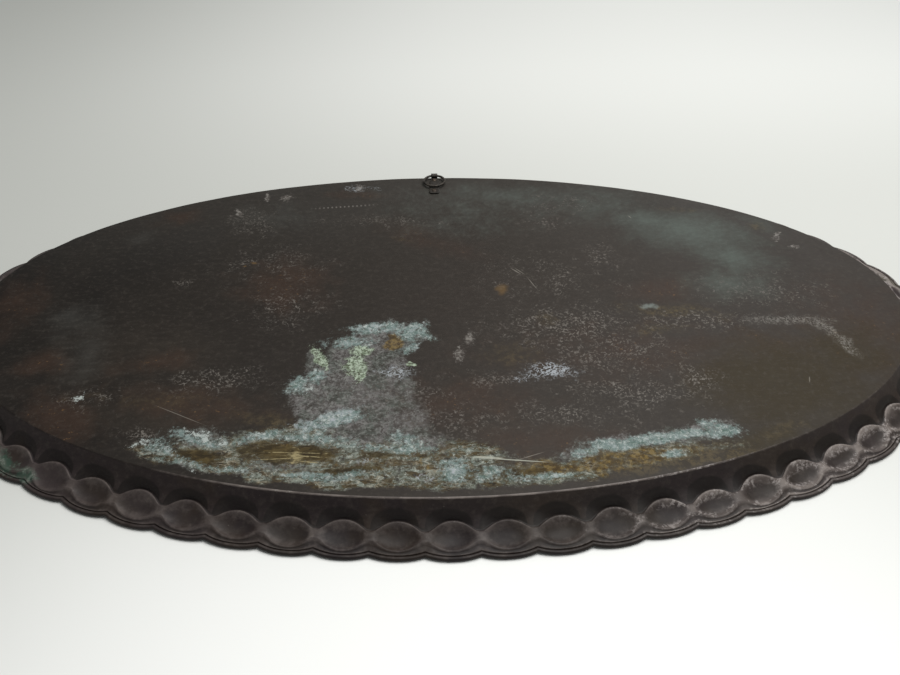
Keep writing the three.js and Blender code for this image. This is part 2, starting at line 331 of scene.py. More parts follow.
def pan_shape():
    """(points, faces, faces of the serving side, fields) of the whole sheet."""
    angle, u, lobe = rim_columns()
    path, fields, first_serving = border_sections(u, lobe, far_side_narrower(angle))
    columns, stations = path.shape[:2]
    x, y = oval(angle[:, None], path[..., 0])
    z = path[..., 1]
    wobble = 0.22 * lattice_noise(x, y, 21, 7) + 0.13 * lattice_noise(x, y, 9, 8)
    free = smooth_step(1.0, 6.0, path[..., 0]) * smooth_step(2.5, 6.0, z)
    z = z + wobble * free - hammered(x, y) * smooth_step(8.0, 0.0, path[..., 0])
    points = [np.stack([x, y, z], -1).reshape(-1, 3)]
    on_crease = np.abs(path[..., 0]) < 0.5
    on_near_side = smooth_step(-200, -120, x) * (1 - 0.85 * smooth_step(130, 220, x))
    # On the crease the wear and painted highlight fades towards both ends; elsewhere it grows towards the
    # right end.
    fields["wear_and_highlight"] = fields["wear_and_highlight"] * np.where(on_crease, 0.15 + 0.85 * on_near_side,
                                               0.85 + 0.9 * smooth_step(80, 260, x))

    quads = grid_faces(columns, stations, round_rows=True)
    faces = [f for f in quads if f[0] % stations < first_serving]
    back = [f for f in quads if f[0] % stations >= first_serving]

    count = columns * stations
    for station, spacing, height, turned in ((0, 4.6, BASE_HEIGHT, False),
                                             (stations - 1, 7.5, BASE_HEIGHT - SHEET, True)):
        ring = np.arange(columns) * stations + station
        places, triangles = base_fill(points[0][ring][:, :2], spacing)
        index = np.concatenate([ring, count + np.arange(len(places))])
        triangles = [tuple(int(index[v]) for v in t) for t in triangles]
        if turned:
            back += [t[::-1] for t in triangles]
        else:
            faces += triangles
        z = height - hammered(places[:, 0], places[:, 1])
        points.append(np.column_stack([places, z]))
        count += len(places)
    points = np.concatenate(points)
    for name, values in fields.items():
        filled = np.full(len(points) - values.size, 1.0 if name == "base" else 0.0)
        fields[name] = np.concatenate([values.ravel(), filled])
    return points, faces, back, fields


# ---------------------------------------------------------------- where the patina lies on the underside

# Each area is (x, y, half length, half width, turn in degrees, strength).
# The haze areas are partly a grey patina haze and partly a painted sheen.
HAZE_AND_SHEEN = [(222, 98, 72, 40, -14, 1.0), (190, 116, 42, 22, -8, 0.9), (250, 58, 46, 30, -30, 0.85),
        (240, 22, 46, 30, 10, 0.6), (285, 105, 26, 12, -40, 0.5), (-285, -16, 26, 28, 0, 0.4),
        (-262, -56, 20, 34, 0, 0.45), (70, 160, 130, 28, -4, 0.35), (150, 140, 60, 36, -10, 0.4),
        (-262, 95, 16, 12, 40, 0.35), (20, 130, 80, 40, 0, 0.2), (-150, 130, 40, 30, 0, 0.25)]
RED = [(-125, 28, 46, 40, 0, 0.9), (-292, -66, 26, 16, 10, 0.8), (-210, -66, 32, 15, 0, 0.7),
       (175, 14, 42, 22, 0, 0.8), (-175, -110, 80, 22, -8, 0.7), (-262, -122, 42, 22, -30, 1.0),
       (15, -110, 60, 30, 0, 0.7), (-232, 132, 26, 16, 20, 0.7), (-335, 5, 26, 46, 0, 0.7),
       (330, -40, 70, 70, 0, 0.6), (150, -60, 130, 40, 0, 0.5), (60, -150, 70, 20, 0, 0.6),
       (-10, 90, 60, 20, -30, 0.5), (250, -60, 60, 30, 0, 0.6), (-80, 165, 30, 10, 0, 0.5)]
GOLD = [(282, 103, 13, 9, -30, 0.9), (182, -14, 48, 11, -6, 0.8), (166, -38, 24, 10, 0, 0.7),
        (86, -22, 12, 13, 0, 0.5), (235, -140, 30, 8, 22, 0.5), (190, -168, 20, 5, 12, 0.6),
        (52, -60, 24, 17, 0, 0.45), (150, -168, 70, 11, 8, 1.5), (112, -163, 34, 10, 4, 1.6),
        (62, -175, 40, 10, 3, 0.9), (-100, -158, 36, 8, -4, 1.5), (-155, -157, 16, 7, -6, 1.3),
        (-55, -166, 56, 12, -3, 0.25), (-38, -45, 10, 10, 0, 1.6), (-205, -106, 60, 9, -4, 0.35),
        (-10, -165, 40, 14, 0, 0.25), (222, 134, 22, 5, -14, 0.5), (-35, 92, 30, 3, -28, 0.4),
        (-120, -128, 30, 9, -8, 0.6)]
WORMS = [(100, -30, 66, 32, 0, 0.9), (125, -62, 60, 26, 0, 0.65), (135, -104, 64, 16, -4, 1.0),
         (186, -92, 18, 20, 0, 1.0), (-162, -86, 44, 15, 6, 0.9), (-120, 0, 34, 30, 0, 0.45),
         (200, -27, 60, 15, 0, 0.8), (-165, 120, 20, 26, 30, 0.6), (-48, 118, 56, 10, -2, 0.5),
         (95, 115, 24, 14, 0, 0.5), (38, -90, 26, 12, 0, 0.7), (90, -125, 66, 15, 0, 0.6),
         (138, 62, 22, 22, 40, 0.5), (95, 30, 60, 40, 0, 0.3), (-208, 30, 12, 7, 0, 0.8),
         (265, 10, 60, 26, 0, 0.4), (-45, -105, 60, 26, 0, 1.0), (-140, 55, 50, 30, 0, 0.3),
         (110, 145, 40, 16, 0, 0.25), (0, -130, 60, 20, 0, 0.5), (-250, -105, 30, 14, 0, 0.5),
         (-206, -141, 18, 9, 0, 1.0)]
FROST = [(78, -80, 20, 10, 0, 1.2), (-35, -80, 13, 8, 0, 0.7), (-78, -128, 24, 8, 20, 0.5),
         (8, -172, 6, 4, 0, 0.6), (-48, -166, 5, 3, 0, 0.8), (-12, -178, 8, 3, 0, 0.7),
         (60, -90, 14, 6, 0, 0.4), (-80, 177, 9, 6, 0, 0.6), (-60, 178, 6, 3, 0, 0.5)]
TURQUOISE = [(-45, -29, 26, 6, 8, 0.9), (-20, -33, 15, 8, 24, 0.9), (-8, -41, 8, 4, -12, 0.8),
             (-24, -52, 12, 5, 30, 0.9), (-68, -47, 17, 6, 10, 0.7), (-87, -80, 8, 9, 0, 0.8),
             (-99, -93, 12, 9, 40, 0.9), (-76, -128, 24, 8, 18, 1.4), (-160, -141, 24, 6, -6, 0.7),
             (-120, -142, 20, 5, 6, 0.7), (-85, -146, 28, 4, 0, 0.6), (-184, -153, 14, 8, -20, 0.25),
             (-145, -168, 36, 5, -8, 0.4), (-78, -177, 36, 4, -1, 0.9), (8, -172, 10, 10, 0, 0.9),
             (-40, -152, 40, 5, -4, 0.6), (-15, -148, 20, 6, -30, 0.6), (116, -152, 24, 6, 6, 1.2),
             (150, -148, 44, 5, 5, 1.2), (188, -139, 14, 6, 0, 0.8), (153, -163, 12, 3, 6, 1.4),
             (88, -163, 12, 4, 10, 0.8), (62, -181, 22, 4, 4, 0.7), (35, -176, 14, 6, 0, 0.5)]
CHALK = [(-162, -136, 12, 4, -8, 1.2), (-152, -139, 4, 5, 0, 1.3), (-144, -143, 4, 5, 0, 1.1),
         (-124, -140, 9, 3, 10, 1.1), (-166, -171, 16, 3, -8, 1.2), (-92, -98, 8, 6, 40, 0.6),
         (-78, -127, 20, 5, 18, 0.6), (-140, -172, 14, 3, -6, 0.7), (-205, -148, 10, 4, 30, 0.9),
         (-255, -104, 6, 6, 0, 1.0), (150, -146, 36, 3, 4, 0.6)]
STREAKS = [(-45, -162, 60, 15, 0, 1.2), (0, -168, 40, 16, 0, 1.1), (-150, -160, 44, 14, -6, 1.0),
           (-100, -158, 50, 12, -4, 1.2), (70, -176, 44, 8, 3, 1.0), (125, -164, 64, 8, 8, 0.3),
           (-185, -162, 22, 8, -20, 0.3), (20, -155, 24, 8, -20, 0.8), (-110, -142, 40, 8, 0, 0.5),
           (-60, -180, 110, 11, 1, 0.9), (60, -182, 60, 10, 2, 0.8)]
POOLS = [(-98, -159, 36, 9, -3, 1.4), (-156, -157, 19, 8, -6, 1.4), (-60, -174, 30, 5, 0, 1.0),
         (-40, -160, 16, 5, 0, 0.8), (15, -176, 20, 6, 0, 0.8), (48, -178, 18, 8, 0, 0.9),
         (-120, -150, 20, 5, 0, 0.7)]
OLIVE = [(245, -96, 84, 58, 10, 1.2), (215, -148, 50, 14, 20, 1.0), (300, -70, 60, 40, 30, 0.8)]
PALE_BROWN = [(-190, -118, 90, 40, -10, 0.8), (-230, -60, 60, 40, 0, 0.5), (60, -150, 80, 26, 0, 0.5)]

# Outlines of the two sheets of verdigris film, and how far inside them it is at its full thickness.
FILM_THINS_OVER = 13.0
FILM = [[(-7, -23), (-13, -29), (-10, -40), (-3, -43), (-13, -46), (-18, -52), (-28, -61),
         (-25, -67), (-27, -74), (-22, -84), (-18, -100), (-13, -117), (-6, -138), (4, -146),
         (14, -157), (24, -163), (30, -180), (-60, -184), (-112, -179), (-150, -174), (-172, -171),
         (-178, -161), (-176, -150), (-168, -141), (-163, -132), (-153, -134), (-147, -143),
         (-134, -146), (-126, -139), (-114, -140), (-98, -139), (-101, -120), (-107, -106),
         (-114, -98), (-105, -89), (-96, -80), (-98, -66), (-97, -52), (-89, -60), (-83, -66),
         (-83, -46), (-66, -40), (-57, -33), (-50, -24), (-38, -21), (-30, -25), (-20, -25)],
        [(76, -160), (95, -150), (107, -146), (124, -145), (143, -143), (157, -139), (171, -136),
         (188, -132), (198, -135), (203, -144), (190, -144), (181, -149), (169, -153), (152, -154),
         (140, -153), (133, -158), (119, -161), (107, -157), (95, -163), (84, -168), (74, -167)]]


def warp(x, y):
    """The plan, drawn a little out of true, so that no area has a smooth outline."""
    return (x + 5 * lattice_noise(x, y, 24, 21) + 2.5 * lattice_noise(x, y, 11, 22),
            y + 4 * lattice_noise(x, y, 24, 23) + 2 * lattice_noise(x, y, 11, 24))


def areas(x, y, table):
    """Where the areas in a table lie: their strength in the middle, 0 at the outline and less outside."""
    x, y = warp(x, y)
    value = np.full(len(x), -1.0)
    for cx, cy, length, width, turn, strength in table:
        c, s = math.cos(math.radians(turn)), math.sin(math.radians(turn))
        dx, dy = x - cx, y - cy
        far = np.hypot((dx * c + dy * s) / length, (dy * c - dx * s) / width)
        value = np.maximum(value, np.where(far < 1, strength * (1 - far), 0.8 * (1 - far)))
    return value


def outlines(x, y, shapes, depth):
    """How far inside the outlines a place is: 1 at depth millimetres inside, -1 as far outside."""
    value = np.full(len(x), -1.0)
    for corners in shapes:
        corners = np.array(corners, float)
        nearest, inside = np.full(len(x), 1e9), np.zeros(len(x), bool)
        for (ax, ay), (bx, by) in zip(corners, np.roll(corners, -1, 0)):
            dx, dy = bx - ax, by - ay
            t = np.clip(((x - ax) * dx + (y - ay) * dy) / (dx * dx + dy * dy), 0, 1)
            nearest = np.minimum(nearest, np.hypot(x - ax - t * dx, y - ay - t * dy))
            crossing = (ay > y) != (by > y)
            with np.errstate(divide="ignore", invalid="ignore"):
                inside ^= crossing & (x < ax + (y - ay) * dx / dy)
        value = np.maximum(value, np.clip(np.where(inside, nearest, -nearest) / depth, -1, 1))
    return value


# ---------------------------------------------------------------- shader tools

STUDIO_LIGHT = 1.5      # how much brighter than its own colour a matt surface looks here


def seen(red, green, blue):
    """The surface colour that looks like these 0 to 255 display values under the studio light."""
    values = [v / 255 for v in (red, green, blue)]
    return [(v / 12.92 if v <= 0.04045 else ((v + 0.055) / 1.055) ** 2.4) / STUDIO_LIGHT
            for v in values] + [1.0]


class Shader:
    """One material's nodes. Every method takes sockets or plain numbers and returns a socket. A tuple of
    three display values from 0 to 255 does for a colour. What has been painted so far is in self.colour."""

    def __init__(self, name):
        self.material = bpy.data.materials.new(name)
        self.material.use_nodes = True
        self.tree = self.material.node_tree
        self.surface = self.tree.nodes["Principled BSDF"]
        coordinates = self.tree.nodes.new("ShaderNodeTexCoord").outputs["Object"]
        self.place = self.vector("SCALE", coordinates, scale=1 / MM)
        self.x, self.y, self.z = (self.node("ShaderNodeSeparateXYZ", {0: self.place}, i)
                                  for i in range(3))
        self.colour = None

    def put(self, socket, value):
        if isinstance(value, bpy.types.NodeSocket):
            self.tree.links.new(value, socket)
        elif value is not None:
            socket.default_value = value

    def node(self, kind, inputs, output=0, **settings):
        made = self.tree.nodes.new(kind)
        for key, value in settings.items():
            setattr(made, key, value)
        for key, value in inputs.items():
            self.put(made.inputs[key], value)
        return made.outputs[output]

    def vector(self, operation, a, b=None, scale=None, output=0):
        inputs = {0: a}
        if b is not None:
            inputs[1] = b
        if scale is not None:
            inputs["Scale"] = scale
        return self.node("ShaderNodeVectorMath", inputs, output, operation=operation)

    def math(self, operation, a, b=None):
        inputs = {0: a} if b is None else {0: a, 1: b}
        return self.node("ShaderNodeMath", inputs, operation=operation)

    def add(self, first, *more):
        for m in more:
            first = self.math("ADD", first, m)
        return first

    def times(self, first, *more):
        for m in more:
            first = self.math("MULTIPLY", first, m)
        return first

    def either(self, first, *more):
        for m in more:
            first = self.math("MAXIMUM", first, m)
        return first

    def step(self, low, high, value):
        """0 below low and 1 above high, or the other way round if low is the higher."""
        return self.node("ShaderNodeMapRange", {"Value": value, "From Min": low, "From Max": high},
                         interpolation_type="SMOOTHSTEP")

    def between(self, value, low, high):
        return self.node("ShaderNodeMapRange", {"Value": value, "To Min": low, "To Max": high})

    def mix(self, factor, a, b):
        a, b = (seen(*colour) if isinstance(colour, tuple) else colour for colour in (a, b))
        return self.node("ShaderNodeMix", {"Factor": factor, 6: a, 7: b}, 2, data_type="RGBA")

    def paint(self, colour, *shares):
        """Lays a colour over what has been painted so far, as far as the product of the shares says."""
        self.colour = self.mix(self.times(*shares), self.colour, colour)

    def field(self, name):
        return self.node("ShaderNodeAttribute", {}, 2, attribute_name=name)

    def noise(self, size, detail=2.0, roughness=0.5, distortion=0.0, place=None):
        """Values round 0.5 with features about size millimetres wide."""
        return self.node("ShaderNodeTexNoise",
                         {"Vector": place or self.place, "Scale": 1 / size, "Detail": detail,
                          "Roughness": roughness, "Distortion": distortion})

    def cells(self, size):
        """Distance to the nearest of random places about size millimetres apart."""
        return self.node("ShaderNodeTexVoronoi", {"Vector": self.place, "Scale": 1 / size}, "Distance")

    def shifted(self, noise, by):
        """A noise value moved to lie round 0 and scaled by by."""
        return self.times(self.math("SUBTRACT", noise, 0.5), by)

    def off_middle(self, noise):
        """How far a noise value is from its middle value. It is near 0 along curling lines."""
        return self.math("ABSOLUTE", self.math("SUBTRACT", noise, 0.5))

    def ragged(self, low, high, area, *noises):
        """0 where an area is below low and 1 above high, its outline frayed by (noise, amount) pairs."""
        return self.step(low, high, self.add(area, *(self.shifted(*noise) for noise in noises)))

    def spot(self, place, x, y, length, width, turn=0.0):
        """1 at the middle of an area, 0 at its outline and less outside it."""
        local = self.node("ShaderNodeMapping",
                          {"Vector": place, "Location": (x, y, BASE_HEIGHT),
                           "Rotation": (0, 0, math.radians(turn)), "Scale": (length, width, 40.0)},
                          vector_type="TEXTURE")
        return self.math("SUBTRACT", 1.0, self.vector("LENGTH", local, output="Value"))

    def spots(self, place, *areas):
        """The highest of several spots, each given as x, y, half length, half width and turn."""
        return self.either(*(self.spot(place, *area) for area in areas))

    def finish(self, roughness, height):
        """Height is in millimetres."""
        normal = self.node("ShaderNodeBump", {"Height": height, "Distance": MM})
        for key, value in (("Base Color", self.colour), ("Roughness", roughness), ("Normal", normal)):
            self.put(self.surface.inputs[key], value)
        return self.material


# ---------------------------------------------------------------- the underside's patina and painted light, layer by layer

class Patina(Shader):
    """A shader with the noises and masks that several layers of the patina share."""

    def __init__(self):
        super().__init__("underside_patina")
        wander_size = 8.0
        wander = self.node("ShaderNodeTexNoise",
                           {"Vector": self.place, "Scale": 1 / wander_size, "Detail": 3.0}, 1)
        drift = self.vector("SCALE", self.vector("SUBTRACT", wander, (0.5, 0.5, 0.5)), scale=wander_size)
        self.warped = self.vector("ADD", self.place, drift)
        less_warped = self.vector("ADD", self.place, self.vector("SCALE", drift, scale=0.6))
        self.stretched = self.vector("MULTIPLY", less_warped, (0.36, 1.0, 1.0))
        self.broad = self.noise(85, 3)
        self.mid = self.noise(17, 4, 0.6)
        self.small = self.noise(4.2, 4, 0.65)
        self.fine = self.noise(1.3, 2, 0.6)
        self.flakes = self.noise(2.2, 4, 0.75, 0.4)
        self.tint = self.noise(5, 6, 0.75)
        self.flow = self.noise(4.5, 6, 0.72, 0.5, self.stretched)
        self.wall = self.field("wall")
        self.rubbed_and_lit_edge = self.field("wear_and_highlight")
        self.strokes = self.times(self.step(0.085, 0.03, self.off_middle(self.noise(3.3, 1.5, 0.5, 0.6))),
                                  self.step(0.44, 0.58, self.noise(2.6, 2, 0.6)))
        self.bright = self.step(0.53, 0.59, self.noise(3.0, 6, 0.85, 0.5))
        self.gaps = self.times(self.step(0.48, 0.38, self.noise(4.4, 5, 0.8, 0.5)),
                               self.between(self.step(90, 40, self.x), 0.3, 1.0))


def paint_ground(m):
    """Painted shade at its left end, painted light and sheen to the right and far side; browner in places,
    finely mottled.
    """
    pale, dark = (92, 85, 78), (26, 23, 20)
    # painted shade and painted light: the ground runs from dark at the left end to lighter at the right
    base = m.mix(m.step(-380, 130, m.x), (22, 18, 15), (57, 50, 44))
    # painted sheen: lighter and greyer towards the far side
    base = m.mix(m.times(m.step(0, 190, m.y), 0.45), base, (74, 72, 68))
    # painted light: the border is painted lighter towards both ends, less so on its wall
    lit_ends = m.times(m.step(60, 280, m.math("ABSOLUTE", m.x)), m.between(m.wall, 1.0, 0.35))
    rim = m.mix(lit_ends, (43, 35, 36), (66, 57, 57))
    rim = m.mix(m.times(m.step(0.45, 0.62, m.noise(40, 3)), 0.6), rim, (58, 47, 38))
    m.colour = m.mix(m.field("base"), rim, base)
    m.paint((50, 44, 38), m.step(0.38, 0.62, m.broad), 0.35)
    m.paint((64, 56, 47), m.ragged(-0.3, 0.8, m.field("pale_brown"), (m.mid, 1.2)), 0.45)
    red = m.ragged(-0.2, 0.85, m.field("red"), (m.mid, 1.3))
    m.paint((68, 49, 38), red, 0.6)
    m.paint((53, 42, 15), m.ragged(-0.2, 0.8, m.field("olive"), (m.mid, 0.8)), 0.88)
    rolled = m.noise(3.2, 5, 0.75, 0.0, m.vector("MULTIPLY", m.place, (0.45, 1.0, 1.0)))
    m.paint(pale, m.step(0.48, 0.66, rolled), 0.1)
    m.paint(dark, m.step(0.5, 0.34, rolled), 0.12)
    m.paint(pale, m.step(0.5, 0.7, m.small), 0.2)
    m.paint(dark, m.step(0.48, 0.36, m.flakes), 0.2)
    return red


def paint_haze_and_sheen(m):
    """Blue-grey haze, partly patina and partly a painted sheen that grows lighter towards the right."""
    haze_and_sheen = m.ragged(-0.15, 1.0, m.field("haze_and_sheen"), (m.mid, 0.9), (m.small, 0.4))
    # painted sheen: the haze is lighter towards the right
    colour = m.mix(m.step(-220, 60, m.x), (76, 75, 71), (98, 107, 101))
    m.paint(colour, haze_and_sheen, m.between(m.small, 0.5, 1.0))
    return haze_and_sheen


def paint_gold(m):
    """Golden brown where the patina is thin."""
    gold = m.ragged(-0.1, 0.9, m.field("gold"), (m.mid, 1.1), (m.small, 0.9))
    m.paint(m.mix(m.step(0.42, 0.6, m.noise(5, 5, 0.7)), (56, 48, 34), (98, 85, 58)), gold, 0.7)
    return gold


def paint_flecks(m, red):
    """Short worm-like flecks, thick in some places and absent in others, and a few stray specks."""
    worms = m.ragged(-0.12, 0.9, m.field("worms"), (m.noise(9, 4, 0.7), 2.6))
    m.paint((138, 132, 125), m.strokes, worms, 0.7)
    m.paint((140, 134, 126), m.step(0.7, 0.78, m.noise(2.6, 3, 0.75)), 0.6)
    m.paint((124, 94, 60), m.step(0.64, 0.72, m.noise(3.4, 2, 0.7)), m.step(0.3, 0.8, red), 0.5)


def paint_film(m):
    """Verdigris begins as a thin grey-lilac film with dark pores in it."""
    growth = m.ragged(-0.2, 0.35, m.field("film"), (m.noise(9, 6, 0.7), 1.6), (m.flakes, 1.0))
    colour = m.mix(m.step(0.4, 0.6, m.noise(15, 4, 0.7)), (98, 104, 98), (124, 121, 120))
    colour = m.mix(m.times(m.step(0.47, 0.62, m.noise(3.0, 4, 0.7)), 0.6), colour, (150, 150, 146))
    pores = m.either(m.strokes, m.times(m.gaps, 0.6))
    colour = m.mix(m.times(pores, 0.75), colour, (60, 54, 50))
    thin = m.either(m.between(m.step(-15, -75, m.x), 0.85, 1.0), m.step(30, 60, m.x),
                    m.step(-130, -145, m.y))
    patches = m.add(0.3, m.times(m.step(0.36, 0.56, m.noise(6, 5, 0.75)), 0.6))
    cover = m.times(growth, thin, patches)
    m.paint(colour, cover)
    return growth, cover


def paint_near_edge(m, growth, gold):
    """Along the near edge the verdigris has run into streaks of brown, gold, grey and white."""
    colour = m.mix(m.step(0.36, 0.45, m.flow), (48, 41, 30), (92, 79, 52))
    pale = m.step(0.46, 0.52, m.flow)
    colour = m.mix(pale, colour, (98, 102, 90))
    colour = m.mix(m.step(0.54, 0.62, m.flow), colour, (150, 158, 148))
    colour = m.mix(m.times(m.bright, pale), colour, (186, 190, 180))
    colour = m.mix(m.times(m.gaps, 0.8), colour, (46, 38, 30))
    streaks = m.ragged(-0.25, 0.35, m.field("streaks"), (m.mid, 1.0), (m.flakes, 1.2))
    m.paint(colour, streaks, 0.85)
    filigree = m.step(0.032, 0.01, m.off_middle(m.noise(7, 4, 0.65, 1.0, m.stretched)))
    m.paint((176, 170, 152), filigree, streaks, m.step(0.46, 0.62, m.mid), 0.6)
    golden = m.mix(m.step(0.44, 0.6, m.noise(4, 4, 0.7)), (74, 58, 32), (134, 112, 64))
    m.paint(golden, m.step(0.2, 0.6, gold), m.either(growth, streaks), 0.8)
    pools = m.ragged(-0.05, 0.4, m.field("pools"), (m.noise(8, 5, 0.7), 1.8), (m.flakes, 0.8))
    m.paint(m.mix(m.step(0.4, 0.62, m.flow), (46, 38, 22), (88, 74, 42)), pools, 0.88)
    return streaks


def paint_turquoise(m):
    """Pale turquoise growth on the film."""
    growth = m.ragged(-0.15, 0.45, m.field("turquoise"), (m.noise(8, 6, 0.75), 2.2), (m.flakes, 1.4))
    colour = m.mix(m.step(0.36, 0.5, m.tint), (96, 118, 110), (130, 148, 145))
    colour = m.mix(m.step(0.52, 0.64, m.tint), colour, (178, 188, 188))
    colour = m.mix(m.times(m.bright, 0.85), colour, (208, 216, 212))
    colour = m.mix(m.times(m.gaps, 0.8), colour, (66, 60, 48))
    m.paint(colour, growth, m.between(m.flakes, 0.75, 1.1))
    return growth


def paint_frost_and_chalk(m):
    """Bluish white frost in dense short strokes, and chalky crust."""
    frost = m.ragged(-0.2, 0.7, m.field("frost"), (m.noise(4, 4, 0.7), 2.0))
    m.paint((184, 190, 196), frost, m.step(0.08, 0.03, m.off_middle(m.noise(3.4, 1.5, 0.5, 0.8))), 0.9)
    m.paint((142, 152, 148), m.ragged(-0.2, 0.8, m.spot(m.warped, 166, -8, 9, 4), (m.small, 1.6)), 0.6)
    chalk = m.times(m.ragged(0.3, 0.5, m.field("chalk"), (m.noise(3.6, 6, 0.8), 3.8)),
                    m.step(0.4, 0.52, m.flakes))
    m.paint((196, 204, 200), chalk, 0.9)
    return chalk


def paint_small_places(m):
    """Green crusts, dried drops, ochre dots and green on the edge, one by one."""
    crust = m.spots(m.warped, (-89, -64, 5, 14, 28), (-59, -56, 9, 6), (-63, -72, 10, 11),
                    (-59, -83, 5, 7), (-22, -72, 3.5, 3.5))
    crust = m.ragged(0.0, 0.25, crust, (m.noise(4.2, 5, 0.75, 0.8), 2.6))
    colour = m.mix(m.step(0.4, 0.58, m.noise(2.4, 3, 0.7)), (118, 132, 108), (192, 208, 186))
    m.paint(m.mix(m.times(m.strokes, 0.8), colour, (62, 56, 42)), crust, 0.9)
    drop = m.spots(m.warped, (22, -44, 4, 10, -4), (14, -62, 4.5, 10, -10), (-74, 178, 5, 6),
                   (-160, 162, 3, 9), (-141, 162, 6, 8, -30), (308, 72, 5, 4), (297, 88, 4, 9, -25),
                   (-182, 136, 3, 7, 20))
    drop = m.ragged(0.0, 0.6, drop, (m.noise(3.0, 4, 0.75), 3.2))
    m.paint(m.mix(m.step(0.45, 0.6, m.noise(2.2, 2)), (98, 92, 87), (160, 155, 149)), drop, 0.65)
    ochre = m.spots(m.warped, (51, 16, 6, 8), (-163, 53, 2, 2), (-156, 57, 3, 2))
    m.paint((118, 92, 54), m.step(-0.1, 0.7, ochre), 0.6)
    corner = m.spots(m.warped, (-294, -146, 16, 7, -42), (-276, -158, 12, 6, -35))
    corner = m.ragged(-0.1, 0.5, corner, (m.noise(6, 5, 0.75), 2.4))
    m.paint(m.mix(m.step(0.48, 0.6, m.tint), (60, 88, 74), (132, 148, 136)), corner, 0.8)
    m.paint((96, 96, 66), m.ragged(-0.1, 0.6, m.spot(m.warped, 384, 44, 7, 16, 20), (m.flakes, 2.0)), 0.7)
    return crust, corner


def paint_marks(m):
    """A soft smear round one corner, and a row of small punch marks."""
    smear = m.spots(m.warped, (272, -27, 34, 6, -2), (296, -36, 17, 6, -60), (304, -56, 16, 6, -78))
    smear = m.ragged(-0.3, 0.8, smear, (m.noise(6, 5, 0.8), 2.0))
    m.paint((158, 154, 147), smear, m.step(0.44, 0.6, m.noise(1.7, 4, 0.8, 0.4)), 0.6)
    row = m.node("ShaderNodeMapping", {"Vector": m.place, "Location": (-86, 144.5, 0),
                                       "Rotation": (0, 0, 0.1)}, vector_type="TEXTURE")
    along, beside = (m.node("ShaderNodeSeparateXYZ", {0: row}, i) for i in (0, 1))
    dot = m.vector("LENGTH", m.node("ShaderNodeCombineXYZ", {
        0: m.math("PINGPONG", along, 1.9), 1: m.times(beside, 0.6)}), output="Value")
    dots = m.times(m.step(1.1, 0.5, dot), m.step(36, 12, m.math("ABSOLUTE", along)))
    m.paint((150, 144, 138), dots, 0.45)
    return dots


def paint_scratches(m):
    long_one = m.spots(m.place, (44, -165, 30, 0.6, -6), (30, -163, 12, 1.3, -6))
    m.paint((194, 196, 182), m.step(0.0, 0.4, long_one), m.between(m.flakes, 0.5, 1.0))
    scratch = m.spots(m.place, (-180, -120, 26, 0.4, -27), (58, -162, 12, 0.5, 20),
                      (64, 41, 7.5, 0.8, -47), (67, 41, 7.5, 0.6, -50), (76, 24, 10, 0.5, -68),
                      (174, 122, 3, 0.6, -62), (264, -94, 4, 0.6, 72))
    scratch = m.times(m.step(0.0, 0.6, scratch), m.between(m.small, 0.3, 1.2))
    m.paint((160, 154, 144), scratch, 0.65)
    # painted glint: bright pale gold streaks of brushed bare metal with their highlight painted in
    glint = m.spots(m.place, (-97, -156, 24, 0.4, -3), (-92, -159, 18, 0.5, -5), (-104, -161, 16, 0.4, 2),
                    (-88, -164, 12, 0.5, -8))
    glint = m.either(glint, m.times(m.spot(m.place, -96, -160, 4, 7, 10), 0.7))
    glint = m.ragged(-0.1, 0.9, glint, (m.noise(1.8, 4, 0.7, 0.0, m.stretched), 4.0))
    m.paint((182, 168, 126), glint, 0.8)
    return scratch


def paint_wear_and_highlights(m):
    """Worn ridges and creases, partly wear and partly painted highlight, with a few bright chips, painted
    glints, and white salt at one end.
    """
    edge = m.rubbed_and_lit_edge
    wear_and_highlight = m.times(m.ragged(0.1, 1.25, edge, (m.noise(14, 4, 0.7), 1.8), (m.small, 1.0)),
                   m.step(0.0, 0.35, edge))
    m.paint((112, 103, 99), wear_and_highlight, 0.62)
    # painted highlight: bare bright lines along the most worn ridges and crease
    m.paint((158, 148, 142), m.ragged(0.85, 1.7, edge, (m.mid, 2.4)), 0.7)
    # painted glints: bright chips on the worn ridges
    m.paint((176, 170, 164), m.step(0.6, 0.68, m.noise(5, 4, 0.7)), m.step(0.6, 1.2, edge), 0.6)
    salt = m.times(m.step(0.49, 0.56, m.noise(2.4, 3, 0.7)), m.step(0.44, 0.56, m.noise(13, 4, 0.7)))
    m.paint((168, 160, 157), salt, m.step(0.3, 0.9, edge), m.step(40, 170, m.x), 0.85)
    return wear_and_highlight


def paint_shade_and_dirt(m):
    """Painted shade and dirt in the hollows, and a painted shadow in a dark arch on the wall over each lobe.
    """
    shadow_arch = m.math("SUBTRACT", 1.0, m.math("POWER", m.times(m.field("across"), 1.12), 2.0))
    shadow_arch = m.math("SQRT", m.either(shadow_arch, 0.0))
    below = m.math("SUBTRACT", m.add(m.times(shadow_arch, 8.0), 8.0), m.add(m.z, m.shifted(m.mid, 3.5)))
    # painted shadow: the dark arch on the wall above each lobe
    arc = m.times(m.step(-0.6, 1.2, below), m.step(0.3, 0.7, m.wall), m.between(m.broad, 0.6, 1.0))
    hollow_shade_and_dirt = m.times(m.field("shade_and_dirt"), m.between(m.mid, 0.55, 0.95))
    m.paint((18, 15, 13), m.either(hollow_shade_and_dirt, m.times(arc, 0.8)))


